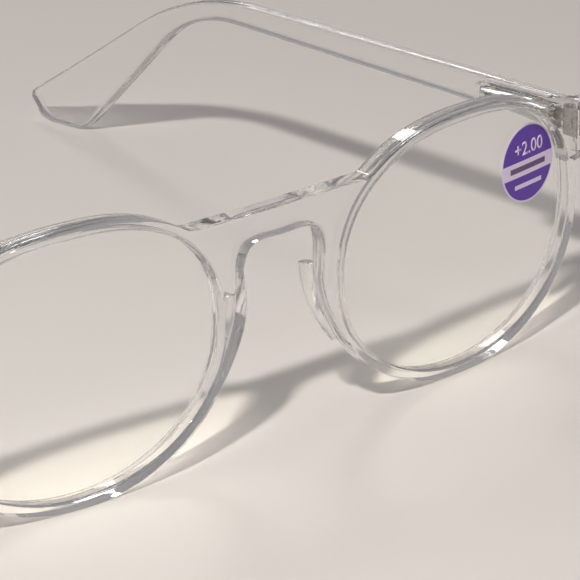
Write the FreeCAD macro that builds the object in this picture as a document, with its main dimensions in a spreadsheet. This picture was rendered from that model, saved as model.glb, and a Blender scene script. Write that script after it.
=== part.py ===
import FreeCAD, Part
import math
import os
import Sketcher
from FreeCAD import Placement, Rotation, Vector

# Keyhole reading glasses with clear moulded front and temples, on sprung hinges.
# +X is the wearer's left, +Y runs back along the temples and +Z is up.
# The origin is under the middle of the open glasses, on the surface that they stand on.

DIMENSIONS = [
    ("front_y", -72.05, "front face of the bridge, from the origin"),
    ("base_radius", 440.0, "curve of the front, seen from above"),
    ("front_depth", 3.5, "front to back through the rims"),
    ("lens_x", 36.1, "middle of each lens opening"),
    ("lens_z", 21.45, "height of the widest part of the opening"),
    ("opening_half_width", 24.8, "half of the lens width"),
    ("opening_above", 18.6, "opening above its widest part"),
    ("opening_below", 19.75, "opening below its widest part"),
    ("upper_power", 2.28, "squareness of the upper half by the nose, 2 is an ellipse"),
    ("outer_power", 2.52, "squareness of the upper half by the temple"),
    ("lower_power", 2.05, "squareness of the lower half"),
    ("rim_width", 1.7, "rim seen from the front"),
    ("groove_depth", 0.6, "lens edge held in the rim"),
    ("groove_play", 0.02, "lens to groove"),
    ("bridge_top", 36.6, "top of the bridge"),
    ("arch_top", 32.0, "top of the keyhole"),
    ("arch_corner", 2.7, "radius of the two corners under the bridge"),
    ("arch_half_width", 7.1, "half the width under the bridge, at the front"),
    ("arch_foot", 5.0, "lower end of the cut that forms the nose gap"),
    ("front_flare", -0.3, "widening of the nose gap in front of the front face"),
    ("back_flare", 4.3, "widening of the nose gap behind the pads"),
    ("bridge_half_width", 20.0, "bridge blank, which ends inside the rims"),
    ("bridge_low", 9.3, "foot of the bridge blank, between the rims"),
    ("bridge_round", 3.0, "inside corners where the bridge leaves the rims"),
    ("end_inner_x", 46.0, "end piece top where it leaves the rim, from the middle"),
    ("end_top_inner", 40.0, "end piece top where it leaves the rim"),
    ("end_middle_x", 62.0, "change of slope of the end piece"),
    ("end_top_middle", 36.3, "end piece top at that change of slope"),
    ("end_top_outer", 34.3, "end piece top beside the temple"),
    ("end_low_inner_x", 54.0, "underside of the end piece where it leaves the rim"),
    ("end_low_inner", 26.9, "underside of the end piece by the rim"),
    ("end_low_outer", 27.6, "underside of the end piece beside the temple"),
    ("half_width", 70.0, "middle to the outside of a temple at the hinge"),
    ("end_corner", 4.6, "round of the outer front corner"),
    ("rim_round", 0.5, "round on the edges of the front"),
    ("hinge_x", 66.4, "hinge axis from the middle"),
    ("hinge_y", 11.0, "hinge axis behind the front face"),
    ("hinge_z", 31.5, "middle of the hinge"),
    ("temple_cant", 2.26, "degrees that each temple closes in"),
    ("butt_gap", 0.5, "end piece to temple"),
    ("butt_y", 0.15, "front end of the temple, behind the hinge axis"),
    ("end_inner", 1.8, "inside of the end piece, inboard of the hinge axis"),
    ("temple_inner", 0.8, "inner face of the temple, outboard of the hinge axis"),
    ("temple_thick", 2.8, "temple thickness"),
    ("temple_top", 34.0, "top edge of the temple at the hinge"),
    ("temple_low", 28.4, "bottom edge of the temple at the hinge"),
    ("shank_low", 29.1, "bottom edge of the temple at the bend"),
    ("bend_y", 89.9, "bend of the temple, behind the hinge axis"),
    ("bend_top", 33.1, "top edge where the two lines of the bend cross"),
    ("ear_low_y", 120.0, "where the ear piece's lower line meets the table"),
    ("rest_end_y", 130.0, "where the tip lifts off the table"),
    ("tip_y", 133.8, "end of the ear piece"),
    ("tip_z", 4.7, "height of that end"),
    ("bend_top_round", 58.0, "radius over the bend"),
    ("bend_low_round", 27.0, "radius under the bend"),
    ("ear_low_round", 8.0, "radius under the ear piece"),
    ("rest_round", 6.0, "radius under the tip"),
    ("tip_round", 1.3, "radius of the tip"),
    ("temple_round", 0.8, "round on the temple's edges"),
    ("toe_start", 96.0, "where the ear piece starts to curve in"),
    ("toe_radius", 290.0, "curve of the ear piece, seen from above, at its outer face"),
    ("toe_reach", 6.0, "room inside and outside the temple for that curve's cut"),
    ("boss_proud", 3.0, "hinge boss inside the temple"),
    ("boss_start", 3.4, "front of the boss, behind the hinge axis"),
    ("boss_end", 17.9, "back of the boss"),
    ("boss_low", 29.1, "underside of the boss"),
    ("boss_top", 33.9, "top of the boss at its front"),
    ("boss_top_back", 33.5, "top of the boss at its back"),
    ("boss_overlap", 1.2, "boss sunk in the temple"),
    ("boss_round", 0.7, "round on the boss"),
    ("channel_radius", 1.15, "bore in the boss for the spring"),
    ("channel_end", 17.0, "end of that bore"),
    ("knuckle_radius", 1.7, "eye and ears"),
    ("relief_radius", 2.0, "plastic kept clear of the eye"),
    ("front_relief", 2.7, "temple kept clear of the ears"),
    ("eye_height", 1.6, "eye between the ears"),
    ("eye_play", 0.05, "eye to each ear"),
    ("ear_height", 1.45, "each ear"),
    ("leaf_inner", 1.5, "leaf inboard of the hinge axis"),
    ("leaf_outer", 1.3, "leaf outboard of the hinge axis"),
    ("leaf_reach", 4.2, "leaf sunk in front of the hinge axis"),
    ("leaf_play", 0.02, "leaf to its pocket"),
    ("screw_radius", 0.6, "hinge screw"),
    ("ear_bore", 0.62, "screw hole in the ears"),
    ("eye_bore", 0.65, "screw hole in the eye"),
    ("head_radius", 1.2, "screw head"),
    ("head_height", 0.5, "screw head"),
    ("slot_width", 0.3, "driver slot"),
    ("neck_width", 1.3, "slider behind its eye"),
    ("rod_radius", 0.55, "slider's rod"),
    ("rod_end", 16.0, "end of the rod"),
    ("bush_bore", 0.6, "guide bush on the rod"),
    ("bush_length", 2.0, "guide bush"),
    ("spring_wire", 0.3, "spring wire"),
    ("spring_radius", 0.83, "middle of the spring wire"),
    ("spring_turns", 11, "turns of the spring"),
    ("nut_start", 14.0, "front of the nut"),
    ("nut_length", 1.6, "nut"),
    ("nut_radius", 1.0, "nut"),
    ("pad_back", 6.7, "back of the nose pads, behind the front face"),
    ("pad_top", 24.3, "top of the nose pads"),
    ("pad_start", 3.0, "front of the nose pads, inside the rims"),
    ("pad_round", 0.9, "round on the nose pads"),
    ("lens_thick", 1.9, "lens at its middle"),
    ("lens_set_back", 0.75, "lens behind the front face at its middle"),
    ("lens_front_radius", 200.0, "front of the lens"),
    ("lens_back_radius", 533.0, "back of the lens"),
    ("sticker_x", 52.07, "middle of the sticker"),
    ("sticker_z", 29.05, "middle of the sticker"),
    ("sticker_half_width", 6.4, "sticker"),
    ("sticker_half_height", 6.15, "sticker"),
    ("sticker_thick", 0.08, "sticker film"),
]

SIDES = {"left": 1, "right": -1}
OPENING_POINTS = 72

# The left wall of the keyhole and the left pad's outline, as (x, z) from the middle.
# The last column of the wall says how far each point moves out with the flare.
NOSE_WALL = [
    (15.7, 8.9, 0.0),
    (12.3, 11.3, 0.0),
    (9.7, 14.6, 0.5),
    (7.6, 18.6, 1.0),
    (6.8, 23.0, 1.0),
]
PAD_BELOW_TOP = [(10.2, 18.6), (12.6, 11.8), (10.5, 10.8), (8.2, 17.0)]
PAD_TOP_SPAN = (7.5, 9.6)


class Size:
    """A length from the sheet: its value in mm, and the expression that gives it."""

    def __init__(self, value, text=None):
        self.value = float(value)
        self.text = text or repr(float(value))

    def __add__(self, other):
        other = size(other)
        return Size(self.value + other.value, f"({self.text} + {other.text})")

    def __sub__(self, other):
        other = size(other)
        return Size(self.value - other.value, f"({self.text} - {other.text})")

    def __mul__(self, factor):
        return Size(self.value * factor, f"({self.text} * {factor})")

    def __neg__(self):
        return Size(-self.value, f"(-1 * {self.text})")


def size(number):
    return number if isinstance(number, Size) else Size(number)


def bind(thing, prop, length):
    """Ties a property to the sheet."""
    thing.setExpression(prop, size(length).text)


doc = FreeCAD.newDocument("reading_glasses")


def make_sheet():
    """The driving dimensions, one row each: name, value and note."""
    sheet = doc.addObject("Spreadsheet::Sheet", "Dims")
    for row, (alias, value, note) in enumerate(DIMENSIONS, start=1):
        sheet.set(f"A{row}", alias)
        sheet.set(f"B{row}", str(value))
        sheet.set(f"C{row}", note)
        sheet.setAlias(f"B{row}", alias)
    doc.recompute()
    return {alias: Size(sheet.get(alias), f"Dims.{alias}") for alias, value, note in DIMENSIONS}


D = make_sheet()
PARTS = {}


# ---------------------------------------------------------------- building blocks


def mirrored(side, low, high):
    """A span of local x on the side's own hinge: outboard is +x on the left and -x on the right."""
    return (low, high) if side > 0 else (-size(high), -size(low))


def box(name, xs, ys, zs, side=1):
    xs = mirrored(side, *xs)
    block = doc.addObject("Part::Box", name)
    for prop, axis, (low, high) in (("Length", "x", xs), ("Width", "y", ys), ("Height", "z", zs)):
        bind(block, prop, size(high) - low)
        bind(block, f"Placement.Base.{axis}", low)
    return block


def upright(name, radius, zs, x=0.0, y=0.0):
    """A cylinder with its axis along Z."""
    rod = doc.addObject("Part::Cylinder", name)
    bind(rod, "Radius", radius)
    bind(rod, "Height", size(zs[1]) - zs[0])
    for axis, place in (("x", x), ("y", y), ("z", zs[0])):
        bind(rod, f"Placement.Base.{axis}", place)
    return rod


def lengthwise(name, radius, ys, x=0.0, z=0.0):
    """A cylinder with its axis along Y."""
    rod = doc.addObject("Part::Cylinder", name)
    bind(rod, "Radius", radius)
    bind(rod, "Height", size(ys[1]) - ys[0])
    rod.Placement = Placement(Vector(), Rotation(Vector(1, 0, 0), -90))
    for axis, place in (("x", x), ("y", ys[0]), ("z", z)):
        bind(rod, f"Placement.Base.{axis}", place)
    return rod


def cut(name, base, tool):
    result = doc.addObject("Part::Cut", name)
    result.Base = base
    result.Tool = tool
    return result


def common(name, base, tool):
    result = doc.addObject("Part::Common", name)
    result.Base = base
    result.Tool = tool
    return result


def fuse(name, shapes):
    result = doc.addObject("Part::MultiFuse", name)
    result.Shapes = shapes
    result.Refine = True
    return result


def feature(name, shape):
    """A fixed shape, for an outline that only a formula gives."""
    result = doc.addObject("Part::Feature", name)
    result.Shape = shape
    return result


def extrude(name, outline, start, length):
    """The outline's face pushed back along Y."""
    outline.Placement.Base = Vector(0, size(start).value, 0)
    result = doc.addObject("Part::Extrusion", name)
    result.Base = outline
    result.DirMode = "Custom"
    result.Dir = Vector(0, 1, 0)
    result.Solid = True
    bind(result, "LengthFwd", length)
    return result


def round_edges(name, base, radius, wanted):
    """Rounds the edges of base for which wanted(edge) is true."""
    doc.recompute()
    numbers = [i for i, edge in enumerate(base.Shape.Edges, start=1) if wanted(edge)]
    result = doc.addObject("Part::Fillet", name)
    result.Base = base
    result.Edges = [(i, size(radius).value, size(radius).value) for i in numbers]
    return result


def finish(name, thing):
    """Names a sub-part and puts it in its place relative to the front face."""
    thing.Label = name
    bind(thing, "Placement.Base.y", D["front_y"])
    PARTS[name] = thing


def finish_at_hinge(name, thing, side):
    """Names a sub-part that was drawn around its hinge axis, and turns it in with its temple."""
    thing.Label = name
    thing.Placement = Placement(Vector(), Rotation(Vector(0, 0, 1), 1))
    bind(thing, "Placement.Rotation.Angle", D["temple_cant"] * side)
    bind(thing, "Placement.Base.x", D["hinge_x"] * side)
    bind(thing, "Placement.Base.y", D["front_y"] + D["hinge_y"])
    PARTS[name] = thing


def finish_in_front(name, thing, side):
    """The same for a hinge piece that is fixed in the front, so it isn't turned."""
    thing.Label = name
    bind(thing, "Placement.Base.x", D["hinge_x"] * side)
    bind(thing, "Placement.Base.y", D["front_y"] + D["hinge_y"])
    PARTS[name] = thing


# ---------------------------------------------------------------- outlines


def oval_curve(side, grow):
    """The lens opening's closed outline, grown outwards: superellipses on one width."""
    points = []
    for step in range(OPENING_POINTS):
        turn = 2 * math.pi * step / OPENING_POINTS
        across, up = math.cos(turn), math.sin(turn)
        upper = "outer_power" if across * side > 0 else "upper_power"
        power = 2 / D[upper if up >= 0 else "lower_power"].value
        reach = D["opening_above" if up >= 0 else "opening_below"].value + grow
        x = (D["opening_half_width"].value + grow) * math.copysign(abs(across) ** power, across)
        z = reach * math.copysign(abs(up) ** power, up)
        points.append(Vector(side * D["lens_x"].value + x, 0, D["lens_z"].value + z))
    curve = Part.BSplineCurve()
    curve.interpolate(points, PeriodicFlag=True)
    return curve


def oval(side, grow):
    """The flat face inside the outline."""
    return Part.Face(Part.Wire(oval_curve(side, grow).toShape()))


def opening_face(side):
    """The lens opening, its outline in two halves so that no rounded edge is one closed ring."""
    curve = oval_curve(side, 0.0)
    start, end = curve.FirstParameter, curve.LastParameter
    halfway = (start + end) / 2
    return Part.Face(Part.Wire([curve.toShape(start, halfway), curve.toShape(halfway, end)]))


def polygon(points):
    """A flat face in the XZ plane."""
    corners = [Vector(x, 0, z) for x, z in points]
    return Part.Face(Part.makePolygon(corners + corners[:1]))


def end_outline(side):
    """The end piece from the front: tall where it leaves the rim, as tall as the temple outside."""
    over = D["half_width"] + 1.0
    corners = [
        (D["end_inner_x"], D["end_top_inner"]),
        (D["end_middle_x"], D["end_top_middle"]),
        (over, D["end_top_outer"]),
        (over, D["end_low_outer"]),
        (D["end_middle_x"], D["end_low_inner"]),
        (D["end_low_inner_x"], D["end_low_inner"]),
    ]
    return polygon([(side * x.value, z.value) for x, z in corners])


def front_outlines():
    """Both rims, both end pieces and the bridge as flat faces, before any opening."""
    half, top, low = D["bridge_half_width"].value, D["bridge_top"].value, D["bridge_low"].value
    faces = {"bridge": polygon([(-half, top), (half, top), (half, low), (-half, low)])}
    for name, side in SIDES.items():
        faces[name + "_rim"] = oval(side, D["rim_width"].value)
        faces[name + "_end"] = end_outline(side)
    return faces


def nose_wire(y, flare):
    """The keyhole in one smooth curve: a flat-topped arch over two walls that swell in."""
    top = D["arch_top"].value
    corner = D["arch_corner"].value
    wall_x = D["arch_half_width"].value + 0.6 * flare
    diagonal = corner * (1.0 - math.sqrt(0.5))
    half = [(x + share * flare, z) for x, z, share in NOSE_WALL]
    half += [
        (wall_x, top - corner),
        (wall_x - diagonal, top - diagonal),
        (wall_x - corner, top),
    ]
    right = [Vector(x, y, z) for x, z in half]
    left = [Vector(-x, y, z) for x, z in reversed(half)]
    arch = Part.BSplineCurve()
    arch.interpolate(right + [Vector(0.0, y, top)] + left)
    foot_z = D["arch_foot"].value
    foot = [left[-1], Vector(-half[0][0], y, foot_z), Vector(half[0][0], y, foot_z), right[0]]
    base = [Part.makeLine(a, b) for a, b in zip(foot, foot[1:])]
    return Part.Wire([arch.toShape()] + base)


# ---------------------------------------------------------------- front, lenses, pads, sticker


def lens_spheres(side):
    """Centres of the two faces of a lens, which looks along the front's own curve."""
    turn = math.asin(D["lens_x"].value / D["base_radius"].value)
    inward = Vector(-side * math.sin(turn), math.cos(turn), 0)
    sag = D["base_radius"].value * (1 - math.cos(turn))
    face = Vector(side * D["lens_x"].value, sag, D["lens_z"].value)
    front = face + inward * (D["lens_set_back"].value + D["lens_front_radius"].value)
    back_distance = D["lens_set_back"] + D["lens_thick"] + D["lens_back_radius"]
    return front, face + inward * back_distance.value


def ball(name, radius, centre):
    """A whole sphere, with its poles kept clear of the glasses."""
    result = doc.addObject("Part::Sphere", name)
    bind(result, "Radius", radius)
    result.Placement.Base = centre
    return result


def lens_blank(name, side, grow, play):
    """The space between a lens's two faces, inside the outline grown by grow."""
    front, back = lens_spheres(side)
    outline = feature(name + "_outline", oval(side, grow))
    prism = extrude(name + "_prism", outline, -2.0, 14.0)
    bulge = ball(name + "_front", D["lens_front_radius"] + play, front)
    hollow = ball(name + "_back", D["lens_back_radius"] - play, back)
    return cut(name + "_blank", common(name + "_bulge", prism, bulge), hollow)


def make_lens(name, side):
    finish(name, lens_blank(name, side, D["groove_depth"].value, Size(0)))


def make_sticker(name):
    """A film on the front of the left lens, an ellipse that is a little wider than tall."""
    centre = Vector(D["sticker_x"].value, 0, D["sticker_z"].value)
    top = centre + Vector(0, 0, D["sticker_half_height"].value)
    side = centre + Vector(D["sticker_half_width"].value, 0, 0)
    face = Part.Face(Part.Wire(Part.Ellipse(side, top, centre).toShape()))
    prism = extrude(name + "_prism", feature(name + "_outline", face), -2.0, 10.0)
    lens_centre = lens_spheres(1)[0]
    outer = ball(name + "_outer", D["lens_front_radius"] + D["sticker_thick"], lens_centre)
    inner = ball(name + "_inner", D["lens_front_radius"], lens_centre)
    finish(name, cut(name + "_film", common(name + "_cap", prism, outer), inner))


def hinge_pocket(name, side):
    """What is cut out of an end piece: the leaf's pocket and room for the eye to turn."""
    play = D["leaf_play"]
    low = D["hinge_z"] - D["eye_height"] * 0.5 - D["eye_play"] - D["ear_height"] - play
    high = D["hinge_z"] + D["eye_height"] * 0.5 + D["eye_play"] + D["ear_height"] + play
    pocket = box(
        name + "_pocket",
        (-D["leaf_inner"] - play, D["leaf_outer"] + play),
        (-D["leaf_reach"] - play, Size(3.0)),
        (low, high),
        side,
    )
    relief = upright(name + "_relief", D["relief_radius"], (20.0, 45.0))
    tool = fuse(name + "_space", [pocket, relief])
    bind(tool, "Placement.Base.x", D["hinge_x"] * side)
    bind(tool, "Placement.Base.y", D["hinge_y"])
    return tool


def make_front():
    """The moulded front: one outline, curved by two coaxial cylinders, then opened."""
    depth = D["hinge_y"] + D["butt_y"] - D["butt_gap"]
    prisms = []
    for name, face in front_outlines().items():
        prisms.append(extrude(name + "_prism", feature(name + "_outline", face), 0.0, depth))
    walls = [nose_wire(-1.0, D["front_flare"].value), nose_wire(12.0, D["back_flare"].value)]
    prisms[0] = cut("bridge_arched", prisms[0], feature("nose_gap", Part.makeLoft(walls, True, True)))
    plate = fuse("front_plate", prisms)
    corners = round_edges("front_corners", plate, D["bridge_round"], bridge_corner)
    trimmed = common(
        "front_trimmed",
        corners,
        box("front_width", (-D["half_width"], D["half_width"]), (-1.0, 20.0), (-1.0, 60.0)),
    )
    outside = upright("front_curve", D["base_radius"], (-5.0, 60.0), y=D["base_radius"])
    curved = common("front_curved", trimmed, outside)
    inside_radius = D["base_radius"] - D["front_depth"]
    inside = upright("back_curve", inside_radius, (-6.0, 61.0), y=D["base_radius"])
    inboard = D["hinge_x"] - D["end_inner"]
    head_box = box("head_side_box", (-inboard, inboard), (0.0, 30.0), (-6.0, 61.0))
    head_side = round_edges(
        "head_side", common("head_side_space", inside, head_box), 0.8, upright_front_edge
    )
    shell = cut("front_shell", curved, head_side)
    ends = round_edges("front_ends", shell, D["end_corner"], outer_corner)
    outer_edges = round_edges("front_rounded", ends, D["rim_round"], face_edge)
    opened = outer_edges
    for name, side in SIDES.items():
        outline = feature(name + "_opening_outline", opening_face(side))
        hole = extrude(name + "_opening", outline, -2.0, 14.0)
        opened = cut(name + "_opened", opened, hole)
    softened = round_edges("front_softened", opened, D["rim_round"] * 0.8, opening_edge)
    grow = D["groove_depth"].value + D["groove_play"].value
    for name, side in SIDES.items():
        groove = lens_blank(name + "_groove", side, grow, D["groove_play"])
        softened = cut(name + "_grooved", softened, groove)
        softened = cut(name + "_pocketed", softened, hinge_pocket(name + "_hinge", side))
    finish("front_frame", softened)


def bridge_corner(edge):
    """Inside corners where the bridge leaves the rims."""
    box_ = edge.BoundBox
    upright_in_y = box_.XLength < 0.01 and box_.ZLength < 0.01 and box_.YLength > 1.0
    x = abs(box_.XMin)
    return upright_in_y and 15.0 < x < 19.0 and box_.ZMin > 30.0


def upright_front_edge(edge):
    """The head space's own front corners."""
    box_ = edge.BoundBox
    return box_.ZLength > 30.0 and box_.XLength < 0.01 and box_.YMin < 12.0


def outer_corner(edge):
    """The outer front corner of each end piece."""
    box_ = edge.BoundBox
    on_side = abs(abs(box_.XMin) - D["half_width"].value) < 0.01 and box_.XLength < 0.01
    return on_side and box_.YLength < 0.5 and box_.ZLength > 3.0 and box_.YMax < 7.0


def face_edge(edge):
    """Edges round the front and back faces, apart from those at the hinge."""
    box_ = edge.BoundBox
    radius = D["base_radius"].value
    for curve in (radius, radius - D["front_depth"].value):
        away = [abs(math.hypot(v.X, v.Y - radius) - curve) for v in edge.Vertexes]
        middle = edge.valueAt((edge.FirstParameter + edge.LastParameter) / 2)
        away.append(abs(math.hypot(middle.x, middle.y - radius) - curve))
        if max(away) < 0.01 and max(abs(box_.XMin), abs(box_.XMax)) < 60.0:
            return True
    return False


def opening_edge(edge):
    """Edges that follow a lens opening's outline."""
    if edge.BoundBox.XLength < 0.01 and edge.BoundBox.ZLength < 0.01:
        return False
    for share in (0.1, 0.5, 0.9):
        point = edge.valueAt(edge.FirstParameter + share * (edge.LastParameter - edge.FirstParameter))
        curve = oval_curve(math.copysign(1, point.x), 0.0)
        nearest = curve.value(curve.parameter(Vector(point.x, 0, point.z)))
        if math.hypot(nearest.x - point.x, nearest.z - point.z) > 0.003:
            return False
    return True


def make_pad(name, side):
    """A nose pad bonded to the back of its rim, leaning with the side of the nose."""
    corners = [(x, D["pad_top"].value) for x in PAD_TOP_SPAN] + PAD_BELOW_TOP
    outline = feature(name + "_outline", polygon([(side * x, z) for x, z in corners]))
    prism = extrude(name + "_prism", outline, D["pad_start"], D["pad_back"] - D["pad_start"])
    rounded = round_edges(name + "_rounded", prism, D["pad_round"], pad_edge)
    fit = upright(name + "_fit", D["base_radius"] - D["front_depth"], (0.0, 40.0), y=D["base_radius"])
    finish(name, common(name + "_fitted", rounded, fit))


def pad_edge(edge):
    """The lengthwise corners of a pad and the edges of its back face."""
    return edge.BoundBox.YMin > D["pad_back"].value - 0.01 or edge.BoundBox.YLength > 2.0


# ---------------------------------------------------------------- hinge


def ear_spans():
    """Heights of the lower ear, the eye and the upper ear."""
    middle = D["hinge_z"]
    half = D["eye_height"] * 0.5
    gap = half + D["eye_play"]
    low = (middle - gap - D["ear_height"], middle - gap)
    high = (middle + gap, middle + gap + D["ear_height"])
    return low, (middle - half, middle + half), high


def make_leaf(name, side):
    """The metal leaf: a block sunk in the end piece, with two ears round the screw."""
    (low, eye_low), _, (eye_high, high) = ear_spans()
    block = box(
        name + "_block",
        (-D["leaf_inner"], D["leaf_outer"]),
        (-D["leaf_reach"], 0.0),
        (low, high),
        side,
    )
    ears = upright(name + "_ears", D["knuckle_radius"], (low, high))
    body = fuse(name + "_body", [block, ears])
    slot = upright(name + "_slot", D["relief_radius"], (eye_low, eye_high))
    slot_mouth = box(name + "_mouth", (-3.0, 3.0), (0.0, 3.0), (eye_low, eye_high), side)
    opened = cut(name + "_opened", body, fuse(name + "_gap", [slot, slot_mouth]))
    bore = upright(name + "_bore", D["ear_bore"], (20.0, 45.0))
    finish_in_front(name, cut(name + "_bored", opened, bore), side)


def make_screw(name, side):
    """The pivot screw, with a slotted head on the upper ear."""
    (low, _), _, (_, high) = ear_spans()
    shank = upright(name + "_shank", D["screw_radius"], (low - 0.2, high))
    head = upright(name + "_head", D["head_radius"], (high, high + D["head_height"]))
    whole = fuse(name + "_whole", [shank, head])
    half = D["slot_width"] * 0.5
    top = high + D["head_height"]
    slot = box(name + "_slot", (-2.0, 2.0), (-half, half), (top - 0.25, top + 1.0))
    finish_in_front(name, cut(name + "_slotted", whole, slot), side)


def make_slider(name, side):
    """The eye that turns on the screw, and the rod that the temple slides on."""
    _, eye, _ = ear_spans()
    half = D["neck_width"] * 0.5
    middle = D["hinge_z"]
    knuckle = upright(name + "_eye", D["knuckle_radius"], eye)
    neck_end = D["boss_start"] - 0.2
    heights = (middle - half, middle + half)
    neck = box(name + "_neck", (-half, half), (1.0, neck_end), heights, side)
    rod = lengthwise(name + "_rod", D["rod_radius"], (1.2, D["rod_end"]), z=middle)
    whole = fuse(name + "_whole", [knuckle, neck, rod])
    bore = upright(name + "_bore", D["eye_bore"], (20.0, 45.0))
    finish_at_hinge(name, cut(name + "_bored", whole, bore), side)


def make_bush(name, side):
    """The guide bush pressed in the mouth of the boss."""
    ends = (D["boss_start"], D["boss_start"] + D["bush_length"])
    outside = lengthwise(name + "_outside", D["channel_radius"] - 0.01, ends, z=D["hinge_z"])
    bore = lengthwise(name + "_bore", D["bush_bore"], (1.0, 8.0), z=D["hinge_z"])
    finish_at_hinge(name, cut(name + "_bored", outside, bore), side)


def make_nut(name, side):
    """The nut on the end of the rod."""
    ends = (D["nut_start"], D["nut_start"] + D["nut_length"])
    outside = lengthwise(name + "_outside", D["nut_radius"], ends, z=D["hinge_z"])
    bore = lengthwise(name + "_bore", D["rod_radius"] + 0.01, (8.0, 20.0), z=D["hinge_z"])
    finish_at_hinge(name, cut(name + "_bored", outside, bore), side)


def make_spring(name, side):
    """The coil spring between the guide bush and the nut."""
    start = D["boss_start"] + D["bush_length"] + D["spring_wire"] * 0.6
    end = D["nut_start"] - D["spring_wire"] * 0.6
    length = (end - start).value
    helix = Part.makeHelix(length / D["spring_turns"].value, length, D["spring_radius"].value)
    wire = Part.Circle(
        Vector(D["spring_radius"].value, 0, 0), Vector(0, 1, 0), D["spring_wire"].value / 2
    )
    profile = Part.Wire(wire.toShape())
    coil = Part.Wire(helix.Edges).makePipeShell([profile], True, True)
    along_rod = Placement(Vector(0, start.value, D["hinge_z"].value), Rotation(Vector(1, 0, 0), -90))
    finish_at_hinge(name, feature(name + "_coil", coil.transformed(along_rod.toMatrix(), True)), side)


# ---------------------------------------------------------------- temple


def origin_plane(body, role):
    return next(f for f in body.Origin.OriginFeatures if f.Role == role)


def profile(body, name, corners, offset):
    """A closed sketch on the body's YZ plane, each corner tied to the sheet."""
    sketch = body.newObject("Sketcher::SketchObject", name)
    sketch.AttachmentSupport = [(origin_plane(body, "YZ_Plane"), "")]
    sketch.MapMode = "FlatFace"
    bind(sketch, "AttachmentOffset.Base.z", offset)
    points = [Vector(size(u).value, size(v).value, 0) for u, v in corners]
    for start, end in zip(points, points[1:] + points[:1]):
        sketch.addGeometry(Part.LineSegment(start, end), False)
    count = len(corners)
    for i in range(count):
        sketch.addConstraint(Sketcher.Constraint("Coincident", i, 2, (i + 1) % count, 1))
    for i, (u, v) in enumerate(corners):
        for kind, length in (("DistanceX", size(u)), ("DistanceY", size(v))):
            if length.value == 0:
                axis = -2 if kind == "DistanceX" else -1
                sketch.addConstraint(Sketcher.Constraint("PointOnObject", i, 1, axis))
                continue
            number = sketch.addConstraint(Sketcher.Constraint(kind, -1, 1, i, 1, length.value))
            sketch.setExpression(f"Constraints[{number}]", length.text)
    return sketch


def pad(body, name, sketch, length):
    result = body.newObject("PartDesign::Pad", name)
    result.Profile = sketch
    bind(result, "Length", length)
    doc.recompute()
    return result


def body_fillet(body, name, base, radius, wanted):
    """A PartDesign fillet on the edges of base for which wanted(edge) is true."""
    names = [f"Edge{i}" for i, e in enumerate(base.Shape.Edges, start=1) if wanted(e)]
    result = body.newObject("PartDesign::Fillet", name)
    result.Base = (base, names)
    bind(result, "Radius", radius)
    body.Tip = result
    doc.recompute()
    return result


def plan_cut(body, name, side, face, far):
    """Trims the temple to one of its faces, seen from above: straight, then curved in to the tip."""
    sketch = body.newObject("Sketcher::SketchObject", name + "_sketch")
    sketch.AttachmentSupport = [(origin_plane(body, "XY_Plane"), "")]
    sketch.MapMode = "FlatFace"
    start, end = D["toe_start"], D["tip_y"] + 4.0
    radius = D["toe_radius"] - D["temple_inner"] - D["temple_thick"] + face
    middle = face - radius
    turn = math.asin((end - start).value / radius.value)
    curled = middle.value + radius.value * math.cos(turn)
    corners = [
        (face.value, -5.0),
        (far.value, -5.0),
        (far.value, end.value),
        (curled, end.value),
        (face.value, start.value),
    ]
    points = [Vector(side * u, v, 0) for u, v in corners]
    for first, last in ((0, 1), (1, 2), (2, 3), (4, 0)):
        sketch.addGeometry(Part.LineSegment(points[first], points[last]), False)
    centre = Vector(side * middle.value, start.value, 0)
    circle = Part.Circle(centre, Vector(0, 0, 1), radius.value)
    angles = (0.0, turn) if side > 0 else (math.pi - turn, math.pi)
    sketch.addGeometry(Part.ArcOfCircle(circle, *angles), False)
    straight_end, curled_end = (1, 2) if side > 0 else (2, 1)
    joins = [(0, 2, 1, 1), (1, 2, 2, 1), (2, 2, 4, curled_end), (4, straight_end, 3, 1), (3, 2, 0, 1)]
    for join in joins:
        sketch.addConstraint(Sketcher.Constraint("Coincident", *join))
    places = [
        (0, 1, face, Size(-5.0)),
        (1, 1, far, Size(-5.0)),
        (2, 1, far, end),
        (3, 1, face, start),
        (4, 3, middle, start),
    ]
    for geometry, point, u, v in places:
        for kind, length in (("DistanceX", u * side), ("DistanceY", v)):
            number = sketch.addConstraint(
                Sketcher.Constraint(kind, -1, 1, geometry, point, length.value)
            )
            sketch.setExpression(f"Constraints[{number}]", length.text)
    number = sketch.addConstraint(Sketcher.Constraint("DistanceY", -1, 1, 2, 2, end.value))
    sketch.setExpression(f"Constraints[{number}]", end.text)
    result = body.newObject("PartDesign::Pocket", name)
    result.Profile = sketch
    result.Type = "ThroughAll"
    result.Midplane = True
    body.Tip = result
    doc.recompute()
    return result


def crosswise_edge_at(y, z, reach=1.0):
    """Finds an edge that runs through the temple's thickness near a corner of the profile."""

    def wanted(edge):
        span = edge.BoundBox
        near = math.hypot(span.YMin - y, span.ZMin - z) < reach
        return near and span.XLength > 1.0 and span.YLength < 0.01

    return wanted


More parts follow.
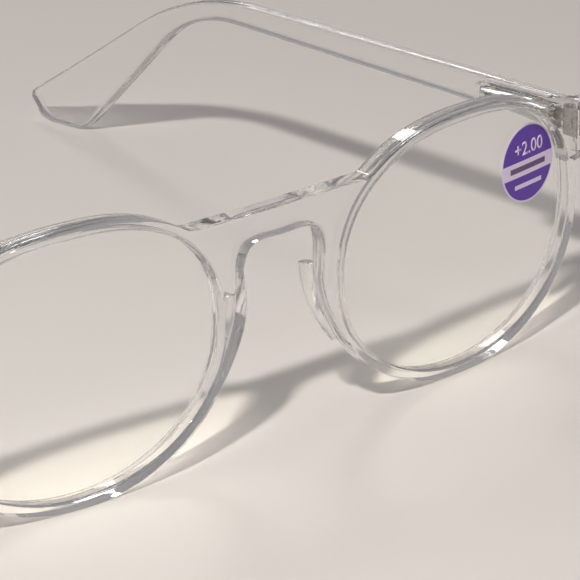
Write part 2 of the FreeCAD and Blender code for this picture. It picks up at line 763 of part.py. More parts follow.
def make_temple(name, side):
    """A temple: the bent arm, the boss inside its front end and the bore for the spring."""
    body = doc.addObject("PartDesign::Body", name + "_body")
    inner, outer = D["temple_inner"], D["temple_inner"] + D["temple_thick"]
    blank_inner = inner - D["toe_reach"]
    arm_offset = blank_inner if side > 0 else -outer
    corners = [
        (D["butt_y"], D["temple_low"]),
        (D["bend_y"], D["shank_low"]),
        (D["ear_low_y"], Size(0)),
        (D["rest_end_y"], Size(0)),
        (D["tip_y"], D["tip_z"]),
        (D["bend_y"], D["bend_top"]),
        (D["butt_y"], D["temple_top"]),
    ]
    sketch = profile(body, name + "_profile", corners, arm_offset)
    arm = pad(body, name + "_arm", sketch, outer - blank_inner)
    rounds = [
        ("bend_low", D["bend_y"], D["shank_low"], D["bend_low_round"]),
        ("ear_low", D["ear_low_y"], Size(0), D["ear_low_round"]),
        ("rest", D["rest_end_y"], Size(0), D["rest_round"]),
        ("tip", D["tip_y"], D["tip_z"], D["tip_round"]),
        ("bend_top", D["bend_y"], D["bend_top"], D["bend_top_round"]),
    ]
    for label, y, z, radius in rounds:
        arm = body_fillet(body, f"{name}_{label}", arm, radius, crosswise_edge_at(y.value, z.value))

    arm = plan_cut(body, name + "_outer_plan", side, outer, outer + D["toe_reach"])
    arm = plan_cut(body, name + "_inner_plan", side, inner, blank_inner - D["toe_reach"])

    def rim_edge(edge):
        span = edge.BoundBox
        crosswise = span.YLength < 0.01 and span.ZLength < 0.01
        upright_seam = span.XLength < 0.01 and span.YLength < 0.01
        return not crosswise and not (upright_seam and span.YMin > D["toe_start"].value - 1.0)

    arm = body_fillet(body, name + "_edges", arm, D["temple_round"], rim_edge)

    overlap = D["boss_overlap"]
    boss_offset = inner - D["boss_proud"] if side > 0 else -(inner + overlap)
    boss_corners = [
        (D["boss_start"], D["boss_low"]),
        (D["boss_end"], D["boss_low"]),
        (D["boss_end"], D["boss_top_back"]),
        (D["boss_start"], D["boss_top"]),
    ]
    sketch = profile(body, name + "_boss_profile", boss_corners, boss_offset)
    boss = pad(body, name + "_boss", sketch, D["boss_proud"] + overlap)
    inside = -side * (D["boss_proud"] - inner).value

    def boss_edge(edge):
        span = edge.BoundBox
        on_face = abs(span.XMin - inside) < 0.01 and span.XLength < 0.01
        at_back = max(abs(y - D["boss_end"].value) for y in (span.YMin, span.YMax)) < 0.01
        return on_face or (at_back and span.XLength > 1.0 and span.ZLength < 0.01)

    boss = body_fillet(body, name + "_boss_edges", boss, D["boss_round"], boss_edge)

    channel = body.newObject("PartDesign::SubtractiveCylinder", name + "_channel")
    channel.Placement = Placement(Vector(), Rotation(Vector(1, 0, 0), -90))
    bind(channel, "Placement.Base.z", D["hinge_z"])
    bind(channel, "Radius", D["channel_radius"])
    bind(channel, "Height", D["channel_end"])
    body.Tip = channel
    doc.recompute()

    relief = body.newObject("PartDesign::SubtractiveCylinder", name + "_relief")
    bind(relief, "Radius", D["front_relief"])
    bind(relief, "Height", 60.0)
    body.Tip = relief
    finish_at_hinge(name, body, side)


# ---------------------------------------------------------------- assembly


def build():
    make_front()
    make_sticker("lens_sticker")
    for name, side in SIDES.items():
        make_lens(name + "_lens", side)
        make_pad(name + "_nose_pad", side)
        make_leaf(name + "_hinge_leaf", side)
        make_screw(name + "_hinge_screw", side)
        make_slider(name + "_spring_slider", side)
        make_bush(name + "_guide_bush", side)
        make_nut(name + "_spring_nut", side)
        make_spring(name + "_hinge_spring", side)
        make_temple(name + "_temple", side)
    doc.recompute()


def check():
    """Stops if any object failed or any sub-part isn't one or more sound solids."""
    for thing in doc.Objects:
        if "Invalid" in thing.State or "Error" in thing.State:
            raise RuntimeError(f"{thing.Label} failed: {thing.State}")
    for name, thing in PARTS.items():
        shape = thing.Shape
        if shape.isNull() or not shape.isValid() or not shape.Solids:
            raise RuntimeError(f"{name} has no sound solid")
        print(name, len(shape.Solids), "solid(s)", round(shape.Volume, 2), "mm3")


def write():
    os.makedirs("parts", exist_ok=True)
    for name, thing in PARTS.items():
        thing.Shape.exportStep(f"parts/{name}.step")


build()
check()
write()
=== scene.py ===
import math

import bmesh
import bpy
from mathutils import Matrix, Vector


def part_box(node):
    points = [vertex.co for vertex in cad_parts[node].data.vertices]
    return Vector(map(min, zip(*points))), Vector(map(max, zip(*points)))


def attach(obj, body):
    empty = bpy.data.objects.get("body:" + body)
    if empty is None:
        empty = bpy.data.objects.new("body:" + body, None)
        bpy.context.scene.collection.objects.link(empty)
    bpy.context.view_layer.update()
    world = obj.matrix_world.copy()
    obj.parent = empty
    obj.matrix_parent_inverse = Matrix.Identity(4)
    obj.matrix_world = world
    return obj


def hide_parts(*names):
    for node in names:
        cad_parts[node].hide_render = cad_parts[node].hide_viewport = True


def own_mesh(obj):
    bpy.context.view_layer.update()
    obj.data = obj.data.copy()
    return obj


# Clear keyhole reading glasses on a pale table. Left and right are the wearer's.
# Shapes are worked out in millimetres. Meshes, the camera, lamps and bump heights are in metres.
MM = 0.001
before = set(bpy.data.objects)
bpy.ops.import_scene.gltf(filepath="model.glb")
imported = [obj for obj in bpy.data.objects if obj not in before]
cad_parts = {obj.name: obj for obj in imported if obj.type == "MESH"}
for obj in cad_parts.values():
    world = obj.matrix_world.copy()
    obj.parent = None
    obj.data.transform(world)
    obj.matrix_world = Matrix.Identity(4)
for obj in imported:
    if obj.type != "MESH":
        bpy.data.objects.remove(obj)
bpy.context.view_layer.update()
FRONT_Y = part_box("front_frame")[0].y / MM
SIDES = {"left": 1, "right": -1}


def side_name(side):
    return "left" if side > 0 else "right"


def add_object(name, data):
    made = bpy.data.objects.new(name, data)
    bpy.context.scene.collection.objects.link(made)
    return made


# ---------------------------------------------------------------- camera

# The camera looks round a point in the keyhole, in line with the front's face. Angles are degrees.
CAMERA_AZIMUTH, CAMERA_ELEVATION, CAMERA_ROLL = -40.04, 21.68, -1.02
CAMERA_TARGET = Vector((0.67 * MM, FRONT_Y * MM, 23.29 * MM))
CAMERA_DISTANCE = 0.4893
SENSOR_WIDTH, FOCAL_LENGTH = 36.0, 212.2

# Light is reflected many times inside clear plastic, so it needs more bounces than usual.
MOST_BOUNCES, GLOSSY_BOUNCES = 20, 16


def add_camera():
    """The photograph's viewpoint."""
    azimuth, elevation, roll = (
        math.radians(angle) for angle in (CAMERA_AZIMUTH, CAMERA_ELEVATION, CAMERA_ROLL)
    )
    back = Vector(
        (
            math.sin(azimuth) * math.cos(elevation),
            -math.cos(azimuth) * math.cos(elevation),
            math.sin(elevation),
        )
    )
    level_right = Vector((math.cos(azimuth), math.sin(azimuth), 0))
    level_up = back.cross(level_right)
    right = math.cos(roll) * level_right + math.sin(roll) * level_up
    up = math.cos(roll) * level_up - math.sin(roll) * level_right
    data = bpy.data.cameras.new("camera")
    data.sensor_width = SENSOR_WIDTH
    data.lens = FOCAL_LENGTH
    camera = add_object("camera", data)
    place = Matrix((right, up, back)).transposed().to_4x4()
    place.translation = CAMERA_TARGET + back * CAMERA_DISTANCE
    camera.matrix_world = place
    bpy.context.scene.camera = camera


add_camera()
bpy.context.scene.view_settings.view_transform = "Standard"
cycles = bpy.context.scene.cycles
cycles.max_bounces = MOST_BOUNCES
cycles.glossy_bounces = GLOSSY_BOUNCES
cycles.transmission_bounces = MOST_BOUNCES

# ---------------------------------------------------------------- materials

# Most values of the noise texture lie between these two.
NOISE_LOW, NOISE_HIGH = 0.3, 0.7


class Shader:
    """A node tree for one material, with short calls for what the materials here share."""

    def __init__(self, name):
        self.material = bpy.data.materials.new(name)
        self.material.use_nodes = True
        self.tree = self.material.node_tree
        self.tree.nodes.clear()
        self.out = self.add("ShaderNodeOutputMaterial")
        self.place = self.add("ShaderNodeTexCoord").outputs["Object"]

    def add(self, kind, **inputs):
        node = self.tree.nodes.new(kind)
        for key, value in inputs.items():
            node.inputs[key.replace("_", " ")].default_value = value
        return node

    def link(self, source, target):
        self.tree.links.new(source, target)

    def noise(self, scale, detail, stretch=None):
        """Noise in the piece's own space, stretched along an axis if stretch is given."""
        node = self.add("ShaderNodeTexNoise", Scale=scale, Detail=detail)
        place = self.place
        if stretch:
            mapping = self.add("ShaderNodeMapping")
            mapping.inputs["Scale"].default_value = stretch
            self.link(place, mapping.inputs["Vector"])
            place = mapping.outputs["Vector"]
        self.link(place, node.inputs["Vector"])
        return node.outputs["Fac"]

    def span(self, source, low, high):
        """Maps a noise value to a range of numbers."""
        ends = {"From_Min": NOISE_LOW, "From_Max": NOISE_HIGH, "To_Min": low, "To_Max": high}
        node = self.add("ShaderNodeMapRange", **ends)
        self.link(source, node.inputs["Value"])
        return node.outputs["Result"]

    def blend(self, factor, first, second):
        """Mixes two colours by a value."""
        node = self.add("ShaderNodeMix")
        node.data_type = "RGBA"
        node.inputs["A"].default_value = (*first, 1)
        node.inputs["B"].default_value = (*second, 1)
        self.link(factor, node.inputs["Factor"])
        return node.outputs["Result"]

    def bump(self, source, distance, strength, below=None):
        """Fine relief, on top of another bump if below is given."""
        node = self.add("ShaderNodeBump", Distance=distance, Strength=strength)
        self.link(source, node.inputs["Height"])
        if below is not None:
            self.link(below, node.inputs["Normal"])
        return node.outputs["Normal"]

    def principled(self, **values):
        """The main shader: each value is a number, a colour or the output of another node."""
        node = self.add("ShaderNodeBsdfPrincipled")
        for key, value in values.items():
            socket = node.inputs[key.replace("_", " ")]
            if isinstance(value, bpy.types.NodeSocket):
                self.link(value, socket)
            else:
                socket.default_value = (*value, 1) if isinstance(value, tuple) else value
        return node

    def finish(self, shader):
        self.link(shader, self.out.inputs["Surface"])
        return self.material


def clear_material(name, tint, shade, rough, ior, through, shadow, wave):
    """Clear plastic with fine haze and moulding waves.

    shadow holds the two colours that its shadow lets through, face on and edge on.
    """
    s = Shader(name)
    flow = s.noise(scale=140.0, detail=2.0)
    haze = s.noise(scale=900.0, detail=4.0)
    waves = s.bump(flow, distance=wave, strength=1.0)
    body = s.principled(
        Base_Color=s.blend(flow, tint, shade),
        Roughness=s.span(haze, *rough),
        IOR=ior,
        Transmission_Weight=through,
        Normal=s.bump(haze, distance=0.000001, strength=0.1, below=waves),
    )
    facing = s.add("ShaderNodeLayerWeight", Blend=0.4).outputs["Facing"]
    passed = s.add("ShaderNodeBsdfTransparent")
    s.link(s.blend(facing, *shadow), passed.inputs["Color"])
    shadow_ray = s.add("ShaderNodeLightPath").outputs["Is Shadow Ray"]
    choice = s.add("ShaderNodeMixShader")
    s.link(shadow_ray, choice.inputs["Fac"])
    s.link(body.outputs["BSDF"], choice.inputs[1])
    s.link(passed.outputs["BSDF"], choice.inputs[2])
    return s.finish(choice.outputs["Shader"])


def metal_material(name, colour, worn, rough, grain):
    """Drawn or stamped metal: fine brushing, with duller patches."""
    s = Shader(name)
    brush = s.noise(scale=6000.0, detail=3.0, stretch=grain)
    patch = s.noise(scale=700.0, detail=3.0)
    body = s.principled(
        Base_Color=s.blend(patch, colour, worn),
        Metallic=1.0,
        Roughness=s.span(brush, *rough),
        Normal=s.bump(brush, distance=0.000004, strength=0.6),
    )
    return s.finish(body.outputs["BSDF"])


def print_material(name, colour, faded, rough):
    """Ink or film of the lens sticker: slightly uneven and a little glossy."""
    s = Shader(name)
    grain = s.noise(scale=5000.0, detail=4.0)
    cloud = s.noise(scale=500.0, detail=2.0)
    body = s.principled(
        Base_Color=s.blend(cloud, colour, faded),
        Roughness=s.span(grain, *rough),
        Normal=s.bump(grain, distance=0.000003, strength=0.4),
    )
    return s.finish(body.outputs["BSDF"])


def table_material():
    """A smooth pale table top."""
    s = Shader("table_top")
    cloud = s.noise(scale=6.0, detail=3.0)
    grain = s.noise(scale=900.0, detail=4.0)
    body = s.principled(
        Base_Color=s.blend(cloud, (0.735, 0.690, 0.645), (0.775, 0.735, 0.695)),
        Roughness=s.span(grain, 0.5, 0.62),
        Normal=s.bump(grain, distance=0.00001, strength=0.25),
    )
    return s.finish(body.outputs["BSDF"])


CLEAR = clear_material(
    "clear_moulded_plastic",
    tint=(0.985, 0.980, 0.975),
    shade=(0.960, 0.958, 0.965),
    rough=(0.0, 0.018),
    ior=1.56,
    through=0.985,
    shadow=((0.24, 0.23, 0.23), (0.015, 0.015, 0.02)),
    wave=0.00006,
)
PAD = clear_material(
    "clear_pad_plastic",
    tint=(0.985, 0.980, 0.970),
    shade=(0.955, 0.950, 0.950),
    rough=(0.04, 0.09),
    ior=1.46,
    through=0.90,
    shadow=((0.80, 0.79, 0.78), (0.25, 0.25, 0.26)),
    wave=0.00002,
)
# Shadow colours above 1 stand in for the light that a plus lens gathers on the table.
LENS = clear_material(
    "coated_lens",
    tint=(0.992, 0.995, 0.985),
    shade=(0.985, 0.990, 0.985),
    rough=(0.0, 0.006),
    ior=1.50,
    through=0.99,
    shadow=((1.10, 1.09, 1.05), (1.04, 1.03, 1.00)),
    wave=0.000003,
)
NICKEL = metal_material(
    "nickel_hinge", (0.46, 0.44, 0.42), worn=(0.30, 0.28, 0.27), rough=(0.22, 0.42), grain=(1, 0.1, 1)
)
SCREW = metal_material(
    "steel_screw", (0.62, 0.60, 0.57), worn=(0.45, 0.43, 0.41), rough=(0.15, 0.32), grain=(1, 1, 0.1)
)
BUSH = metal_material(
    "brass_bush", (0.58, 0.47, 0.30), worn=(0.42, 0.34, 0.22), rough=(0.2, 0.38), grain=(1, 0.2, 1)
)
SPRING = metal_material(
    "spring_steel", (0.55, 0.54, 0.53), worn=(0.36, 0.35, 0.35), rough=(0.18, 0.34), grain=(0.3, 1, 0.3)
)
FILM = print_material("sticker_film", (0.74, 0.60, 0.86), faded=(0.80, 0.70, 0.88), rough=(0.25, 0.4))
VIOLET = print_material("violet_print", (0.10, 0.03, 0.36), faded=(0.118, 0.04, 0.40), rough=(0.3, 0.45))
INK = print_material("dark_print", (0.10, 0.05, 0.16), faded=(0.16, 0.09, 0.22), rough=(0.35, 0.5))
PALE = print_material("pale_print", (0.80, 0.68, 0.92), faded=(0.72, 0.58, 0.88), rough=(0.3, 0.45))

# The CAD solids that stay in view, by what their names hold.
CAD_FINISH = {
    "front_frame": CLEAR,
    "temple": CLEAR,
    "hinge_leaf": NICKEL,
    "spring_slider": NICKEL,
    "hinge_screw": SCREW,
    "guide_bush": BUSH,
    "spring_nut": BUSH,
}
for name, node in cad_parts.items():
    for part, finish in CAD_FINISH.items():
        if part in name:
            node.data.materials.clear()
            node.data.materials.append(finish)

# ---------------------------------------------------------------- meshes

# Points closer than these, in metres, become one.
WELD, FINE_WELD = 1e-7, 1e-8


def signed_power(value, power):
    """A power that keeps the sign, to square off a sine or a cosine."""
    return math.copysign(abs(value) ** power, value)


def write_mesh(work, mesh, weld):
    """Welds doubled points, turns the faces outward and fills the mesh."""
    bmesh.ops.remove_doubles(work, verts=work.verts, dist=weld)
    bmesh.ops.recalc_face_normals(work, faces=work.faces)
    work.to_mesh(mesh)
    work.free()


def add_mesh(name, points, faces, material, sharp):
    """A smooth-shaded mesh from points in millimetres. Edges sharper than sharp degrees stay crisp."""
    mesh = bpy.data.meshes.new(name)
    mesh.from_pydata([Vector(p) * MM for p in points], [], faces)
    work = bmesh.new()
    work.from_mesh(mesh)
    write_mesh(work, mesh, WELD)
    mesh.materials.append(material)
    mesh.shade_smooth()
    mesh.set_sharp_from_angle(angle=math.radians(sharp))
    return add_object(name, mesh)


def skin(rows, cap_first, cap_last):
    """Quads between closed rows of equal length, with a centre point that closes each end."""
    points = [p for row in rows for p in row]
    count = len(rows[0])
    faces = []
    for r in range(len(rows) - 1):
        a, b = r * count, (r + 1) * count
        for i in range(count):
            j = (i + 1) % count
            faces.append((a + i, a + j, b + j, b + i))
    for centre, row in ((cap_first, 0), (cap_last, len(rows) - 1)):
        points.append(centre)
        for i in range(count):
            faces.append((row * count + i, row * count + (i + 1) % count, len(points) - 1))
    return points, faces


# ---------------------------------------------------------------- lenses

# The openings in the front: middle of each, half width, and reach above and below the middle.
LENS_X, LENS_Z, HALF_WIDTH, ABOVE, BELOW = 36.1, 21.45, 24.8, 18.6, 19.75
# Superellipse powers of their outline: below, and above on the temple side and on the nose side.
POWER_BELOW, POWER_TEMPLE, POWER_NOSE = 2.05, 2.52, 2.28
# How far a lens reaches into its groove, and the radius that the whole front is curved to.
GROOVE, BASE_RADIUS = 0.6, 440.0
# A lens stands this far behind the front's face at its middle, where it is this thick.
LENS_SET_BACK, LENS_THICK = 0.75, 1.9
LENS_FRONT_RADIUS, LENS_BACK_RADIUS = 200.0, 533.0
# Rings from a lens's middle to its edge, points in each, and the edge's round and how far in its middle is.
LENS_RINGS, LENS_AROUND, LENS_ROUND, ROUND_MIDDLE = 24, 288, 0.12, 0.036


def oval_point(side, turn, grow):
    """A point of an opening's outline, moved outward by grow: superellipses that share one width."""
    across, up = math.cos(turn), math.sin(turn)
    if up < 0:
        reach, power = BELOW, POWER_BELOW
    else:
        reach, power = ABOVE, POWER_TEMPLE if across * side > 0 else POWER_NOSE
    x = (HALF_WIDTH + grow) * signed_power(across, 2 / power)
    z = (reach + grow) * signed_power(up, 2 / power)
    return side * LENS_X + x, LENS_Z + z


def lens_centres(side):
    """Centres of the two spheres of a lens, which looks along the front's own curve."""
    turn = math.asin(LENS_X / BASE_RADIUS)
    inward = Vector((-side * math.sin(turn), math.cos(turn), 0))
    face = Vector((side * LENS_X, FRONT_Y + BASE_RADIUS * (1 - math.cos(turn)), LENS_Z))
    front = face + inward * (LENS_SET_BACK + LENS_FRONT_RADIUS)
    return front, face + inward * (LENS_SET_BACK + LENS_THICK + LENS_BACK_RADIUS)


def on_sphere(centre, radius, x, z):
    """The near face of a sphere, at x and z."""
    across = (x - centre.x) ** 2 + (z - centre.z) ** 2
    return Vector((x, centre.y - math.sqrt(radius * radius - across), z))


def make_lens(name, side):
    """Two spherical faces on even rings, with a softly rounded edge."""
    front, back = lens_centres(side)
    around = [2 * math.pi * i / LENS_AROUND for i in range(LENS_AROUND)]
    middle = (side * LENS_X, LENS_Z)

    def ring(centre, radius, share=1.0, shift=0.0, inset=0.0):
        row = []
        for turn in around:
            x, z = oval_point(side, turn, GROOVE - inset)
            x, z = middle[0] + (x - middle[0]) * share, middle[1] + (z - middle[1]) * share
            row.append(on_sphere(centre, radius, x, z) + Vector((0, shift, 0)))
        return row

    def face_rows(centre, radius, inward):
        """One face, from its middle out, and its half of the rounded edge."""
        rows = [ring(centre, radius, share=k / LENS_RINGS) for k in range(1, LENS_RINGS)]
        for shift, inset in ((0.0, LENS_ROUND), (ROUND_MIDDLE, ROUND_MIDDLE), (LENS_ROUND, 0.0)):
            rows.append(ring(centre, radius, shift=inward * shift, inset=inset))
        return rows

    rows = face_rows(front, LENS_FRONT_RADIUS, 1) + face_rows(back, LENS_BACK_RADIUS, -1)[::-1]
    front_cap = on_sphere(front, LENS_FRONT_RADIUS, *middle)
    back_cap = on_sphere(back, LENS_BACK_RADIUS, *middle)
    points, faces = skin(rows, front_cap, back_cap)
    lens = add_mesh(name, points, faces, LENS, sharp=40)
    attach(lens, "front")
    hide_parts(name.replace("_glass", "_lens"))


for name, side in SIDES.items():
    make_lens(name + "_glass", side)

# ---------------------------------------------------------------- nose pads

# A pad keeps these distances inside its CAD solid's box, at its top, its lower end and its back.
PAD_TOP_GAP, PAD_LOW_GAP, PAD_BACK_GAP = 0.02, 0.1, 0.02
# Where a pad leaves the rim, behind the front's face, and the least that it stands out.
PAD_ROOT, PAD_LEAST_REACH = 3.52, 0.05
# How far the back edge of a pad's top end slopes down, and the round on that end.
PAD_TOP_SLOPE, PAD_TOP_ROUND, PAD_TOP_INSET = 0.35, 0.06, 0.94
# Powers that square off a pad's section, across it and from root to back edge.
PAD_SQUARE_ACROSS, PAD_SQUARE_OUT = 0.55, 0.7
PAD_STEPS, PAD_AROUND = 40, 28


def pad_section(t, depth):
    """Nose side, width and reach of a pad, at t from 0 at its top to 1 at its lower end.

    It sweeps away from the nose, narrows and runs out, all faster towards the lower end.
    """
    nose = 7.6 + 0.4 * t + 3.7 * t**2.3
    width = 1.75 - 0.35 * t - 0.6 * t**6
    return nose, width, max(depth * (1 - t**2.1) ** 0.9, PAD_LEAST_REACH)


def middle_of(row):
    return sum(row, Vector()) / len(row)


def make_pad(name, side):
    """A pad like a fin on the back of the rim: deep at the top, and running out to nothing below."""
    low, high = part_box(name.replace("_fin", "_nose_pad"))
    top, bottom = high.z / MM - PAD_TOP_GAP, low.z / MM + PAD_LOW_GAP
    depth = high.y / MM - FRONT_Y - PAD_BACK_GAP - PAD_ROOT
    rows = []
    for k in range(PAD_STEPS + 1):
        t = k / PAD_STEPS
        z = top + (bottom - top) * t
        nose, width, reach = pad_section(t, depth)
        x_mid = nose + width / 2
        root = PAD_ROOT + x_mid**2 / (2 * BASE_RADIUS)
        row = []
        for i in range(PAD_AROUND):
            turn = 2 * math.pi * i / PAD_AROUND
            across, out = math.cos(turn), math.sin(turn)
            x = x_mid + width / 2 * signed_power(across, PAD_SQUARE_ACROSS)
            y = root + reach / 2 * (1 + signed_power(out, PAD_SQUARE_OUT))
            drop = PAD_TOP_SLOPE * (1 - t) * (out + 1) / 2
            row.append(Vector((side * x, FRONT_Y + y, z - drop)))
        rows.append(row)
    centre = middle_of(rows[0])
    rows.insert(0, [centre + (p - centre) * PAD_TOP_INSET for p in rows[0]])
    rows[1] = [p - Vector((0, 0, PAD_TOP_ROUND)) for p in rows[1]]
    points, faces = skin(rows, middle_of(rows[0]), middle_of(rows[-1]))
    pad = add_mesh(name, points, faces, PAD, sharp=50)
    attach(pad, "front")
    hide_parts(name.replace("_fin", "_nose_pad"))


for name, side in SIDES.items():
    make_pad(name + "_fin", side)

# ---------------------------------------------------------------- sticker

# The sticker's middle, half its height, and how much wider than tall it is.
STICKER_X, STICKER_Z, STICKER_R, STICKER_WIDER = 52.07, 29.05, 6.14, 1.04
# The bare band between the two violet prints, from the sticker's middle, and the bare border round them.
BAND_LOW, BAND_HIGH, BORDER = -1.75, 0.65, 0.27
# Gaps under the film and under each print, so that no two faces share a place.
FILM_GAP, PRINT_GAP = 0.004, 0.001
FILM_THICK, INK_THICK = 0.06, 0.008
# Heights over the lens where the first prints start, and what is printed on top of them.
PRINT_LEVEL = FILM_GAP + FILM_THICK + PRINT_GAP
UPPER_LEVEL = PRINT_LEVEL + INK_THICK + PRINT_GAP
# The bars that stand in for words: left, right, low and high.
BAND_BAR, LOW_BAR = (-4.3, 4.3, -0.98, -0.12), (-3.3, 3.3, -3.65, -2.95)
# The figures' box, its middle from the sticker's middle, and how much bolder they are than the font.
NUMBER_WIDTH, NUMBER_HEIGHT, NUMBER_X, NUMBER_Z, NUMBER_BOLDER = 6.9, 2.15, 0.35, 2.5, 0.012
# The film's first and last rows keep this half width, so that no face there has two points in one place.
LEAST_HALF_WIDTH = 0.02


def on_sticker(x, z, level):
    """A point at x and z from the sticker's middle, at a height over the lens."""
    return on_sphere(lens_centres(1)[0], LENS_FRONT_RADIUS + level, STICKER_X + x, STICKER_Z + z)


def sticker_skin(name, outline_rows, level, thick, material):
    """A thin shell that follows the lens: rows of (x, z) round the sticker's middle."""
    points = [
        on_sticker(x, z, lift) for lift in (level, level + thick) for row in outline_rows for x, z in row
    ]
    width, height = len(outline_rows[0]), len(outline_rows)
    faces = []

    def at(sheet, r, i):
        return sheet * width * height + r * width + i

    for r in range(height - 1):
        for i in range(width - 1):
            faces.append((at(0, r, i), at(0, r, i + 1), at(0, r + 1, i + 1), at(0, r + 1, i)))
            faces.append((at(1, r, i), at(1, r + 1, i), at(1, r + 1, i + 1), at(1, r, i + 1)))
    rim = [(0, i) for i in range(width)]
    rim += [(r, width - 1) for r in range(1, height)]
    rim += [(height - 1, i) for i in range(width - 2, -1, -1)]
    rim += [(r, 0) for r in range(height - 2, 0, -1)]
    for (r1, i1), (r2, i2) in zip(rim, rim[1:] + rim[:1]):
        faces.append((at(0, r1, i1), at(1, r1, i1), at(1, r2, i2), at(0, r2, i2)))
    piece = add_mesh(name, points, faces, material, sharp=35)
    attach(piece, "front")
    return piece


def even_steps(first, last, count):
    return [first + (last - first) * i / (count - 1) for i in range(count)]


def chord_rows(radius, low, high, rows=28, columns=41):
    """Rows across the sticker's oval between two heights, each as wide as the oval is there."""
    made = []
    angle_low, angle_high = math.asin(max(low / radius, -1)), math.asin(min(high / radius, 1))
    for angle in even_steps(angle_low, angle_high, rows):
        z = radius * math.sin(angle)
        half = STICKER_WIDER * math.sqrt(max(radius * radius - z * z, 0))
        half = max(half, LEAST_HALF_WIDTH)
        made.append([(x, z) for x in even_steps(-half, half, columns)])
    return made


def box_rows(left, right, low, high, columns=13):
    return [[(x, z) for x in even_steps(left, right, columns)] for z in (low, high)]


def add_number(name, text, material):
    """The strength, in generic figures, as a raised print that follows the lens."""
    curve = bpy.data.curves.new(name, "FONT")
    curve.body = text
    curve.resolution_u = 6
    curve.offset = NUMBER_BOLDER
    letters = add_object(name + "_text", curve)
    bpy.context.view_layer.update()
    mesh = bpy.data.meshes.new_from_object(letters.evaluated_get(bpy.context.evaluated_depsgraph_get()))
    bpy.data.objects.remove(letters)
    low = [min(v.co[k] for v in mesh.vertices) for k in (0, 1)]
    high = [max(v.co[k] for v in mesh.vertices) for k in (0, 1)]
    work = bmesh.new()
    work.from_mesh(mesh)
    bmesh.ops.triangulate(work, faces=work.faces)
    grown = bmesh.ops.extrude_face_region(work, geom=work.faces[:])
    top = {v for v in grown["geom"] if isinstance(v, bmesh.types.BMVert)}
    for v in work.verts:
        x = NUMBER_X + NUMBER_WIDTH * ((v.co.x - low[0]) / (high[0] - low[0]) - 0.5)
        z = NUMBER_Z + NUMBER_HEIGHT * ((v.co.y - low[1]) / (high[1] - low[1]) - 0.5)
        v.co = on_sticker(x, z, UPPER_LEVEL + (INK_THICK if v in top else 0)) * MM
    write_mesh(work, mesh, FINE_WELD)
    mesh.materials.clear()
    mesh.materials.append(material)
    piece = add_object(name, mesh)
    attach(piece, "front")


film = sticker_skin(
    "sticker_film", chord_rows(STICKER_R, -STICKER_R, STICKER_R, rows=56), FILM_GAP, FILM_THICK, FILM
)
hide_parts("lens_sticker")
inner = STICKER_R - BORDER
sticker_skin("sticker_upper_print", chord_rows(inner, BAND_HIGH, inner), PRINT_LEVEL, INK_THICK, VIOLET)
sticker_skin("sticker_lower_print", chord_rows(inner, -inner, BAND_LOW), PRINT_LEVEL, INK_THICK, VIOLET)
add_number("sticker_number", "+2.00", PALE)
sticker_skin("sticker_band_bar", box_rows(*BAND_BAR), PRINT_LEVEL, INK_THICK, INK)
sticker_skin("sticker_low_bar", box_rows(*LOW_BAR), UPPER_LEVEL, INK_THICK, PALE)

# ---------------------------------------------------------------- hinge springs

# The hinge's axis: from the middle, behind the front's face, and up. Degrees that a temple closes in.
HINGE_X, HINGE_BACK, HINGE_Z, TEMPLE_CANT = 66.4, 11.0, 31.5, 2.26
# Radius of the wire and of the coil's middle line, turns in all, and turns closed at each end.
WIRE, COIL, TURNS, CLOSED_TURNS = 0.15, 0.83, 11, 1.0
# A closed turn rises by just over the wire's thickness. The coil has a small gap at each end.
CLOSED_RISE, SPRING_GAP = WIRE * 2.02, 0.1
# How far a temple pulls back, and the points in a turn of the coil and round its wire.
SPRING_TRAVEL, TURN_STEPS, WIRE_AROUND = 1.2, 36, 12


def coil_rise(turn, length):
    """How far along the coil the wire is at a turn: closed at both ends, and open between them."""
    if turn < CLOSED_TURNS:
        return CLOSED_RISE * turn
    if turn > TURNS - CLOSED_TURNS:
        return length - CLOSED_RISE * (TURNS - turn)
    closed = CLOSED_RISE * CLOSED_TURNS
    return closed + (length - 2 * closed) * (turn - CLOSED_TURNS) / (TURNS - 2 * CLOSED_TURNS)


def wire_rows(line, hinge, along):
    """A ring of points round the wire at each point of its middle line."""
    rows = []
    for i, p in enumerate(line):
        tangent = (line[min(i + 1, len(line) - 1)] - line[max(i - 1, 0)]).normalized()
        axis_point = hinge + along * (p - hinge).dot(along)
        side_way = tangent.cross((p - axis_point).normalized()).normalized()
        out = side_way.cross(tangent)
        angles = [2 * math.pi * k / WIRE_AROUND for k in range(WIRE_AROUND)]
        rows.append([p + (out * math.cos(a) + side_way * math.sin(a)) * WIRE for a in angles])
    return rows


def make_spring(name, side):
    """A coil round the slider's rod, that moves with the slider."""
    low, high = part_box(name.replace("_coil", "_hinge_spring"))
    cant = math.radians(TEMPLE_CANT) * side
    along = Vector((-math.sin(cant), math.cos(cant), 0))
    across = Vector((math.cos(cant), math.sin(cant), 0))
    hinge = Vector((side * HINGE_X, FRONT_Y + HINGE_BACK, HINGE_Z))
    start = (low.y / MM - hinge.y) / math.cos(cant) + SPRING_GAP
    end = (high.y / MM - hinge.y) / math.cos(cant) - SPRING_GAP
    line = []
    for turn in even_steps(0, TURNS, TURN_STEPS * TURNS + 1):
        angle = 2 * math.pi * turn
        line.append(
            hinge
            + along * (start + WIRE + coil_rise(turn, end - start - 2 * WIRE))
            + across * (COIL * math.cos(angle))
            + Vector((0, 0, COIL * math.sin(angle)))
        )
    points, faces = skin(wire_rows(line, hinge, along), line[0], line[-1])
    spring = add_mesh(name, points, faces, SPRING, sharp=60)
    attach(spring, side_name(side) + "_slider")
    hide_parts(name.replace("_coil", "_hinge_spring"))
    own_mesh(spring)


for name, side in SIDES.items():
    make_spring(name + "_coil", side)

# ---------------------------------------------------------------- floor and light

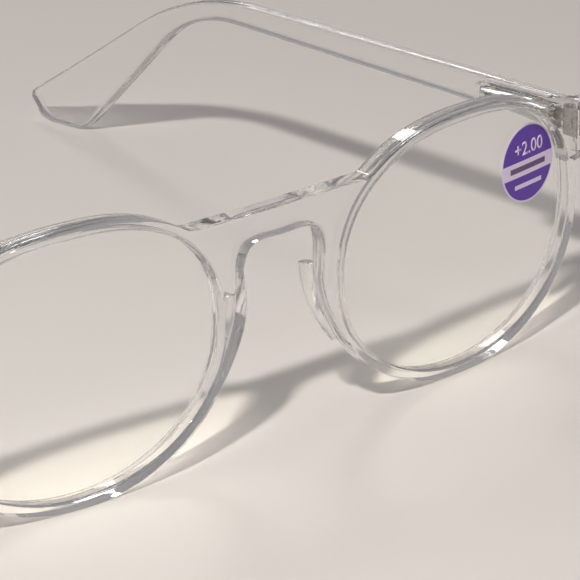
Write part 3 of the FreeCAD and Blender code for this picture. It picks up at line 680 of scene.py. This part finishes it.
# Half the table's side and the point that the lamps look at, in metres.
TABLE_REACH, LAMP_TARGET = 4.0, Vector((0, -0.03, 0.01))
# The room's colours from level view upward, and where on the way up the walls and the ceiling are.
ROOM_LOW, ROOM_WALLS, ROOM_CEILING = (0.88, 0.84, 0.86), (0.97, 0.93, 0.96), (0.69, 0.67, 0.72)
WALLS_AT, CEILING_AT, ROOM_STRENGTH = 0.35, 0.9, 0.315


def add_floor():
    mesh = bpy.data.meshes.new("table")
    signs = ((-1, -1), (1, -1), (1, 1), (-1, 1))
    corners = [(x * TABLE_REACH, y * TABLE_REACH, 0) for x, y in signs]
    mesh.from_pydata(corners, [], [(0, 1, 2, 3)])
    mesh.materials.append(table_material())
    floor = add_object("table", mesh)


def add_area(name, direction, distance, size, power, colour):
    """A soft square lamp that looks at the middle of the glasses."""
    data = bpy.data.lights.new(name, "AREA")
    data.size = size
    data.energy = power
    data.color = colour
    lamp = add_object(name, data)
    lamp.location = LAMP_TARGET + Vector(direction).normalized() * distance
    lamp.rotation_euler = (LAMP_TARGET - lamp.location).to_track_quat("-Z", "Y").to_euler()


def add_world():
    """Even room light: pale walls all round, and dimmer overhead."""
    world = bpy.data.worlds.new("room")
    bpy.context.scene.world = world
    world.use_nodes = True
    tree = world.node_tree
    background = tree.nodes["Background"]
    place = tree.nodes.new("ShaderNodeTexCoord")
    parts = tree.nodes.new("ShaderNodeSeparateXYZ")
    ramp = tree.nodes.new("ShaderNodeValToRGB")
    tree.links.new(place.outputs["Generated"], parts.inputs["Vector"])
    tree.links.new(parts.outputs["Z"], ramp.inputs["Fac"])
    tree.links.new(ramp.outputs["Color"], background.inputs["Color"])
    stops = ramp.color_ramp.elements
    stops[0].position, stops[0].color = 0.0, (*ROOM_LOW, 1)
    stops[1].position, stops[1].color = CEILING_AT, (*ROOM_CEILING, 1)
    stops.new(WALLS_AT).color = (*ROOM_WALLS, 1)
    background.inputs["Strength"].default_value = ROOM_STRENGTH


add_floor()
add_area("key", (-0.70, -0.51, 1.0), distance=0.85, size=0.05, power=5.4, colour=(1.0, 0.975, 0.925))
add_area("glint", (0.50, 0.75, 0.80), distance=1.5, size=0.30, power=1.7, colour=(1.0, 0.99, 0.97))
add_world()
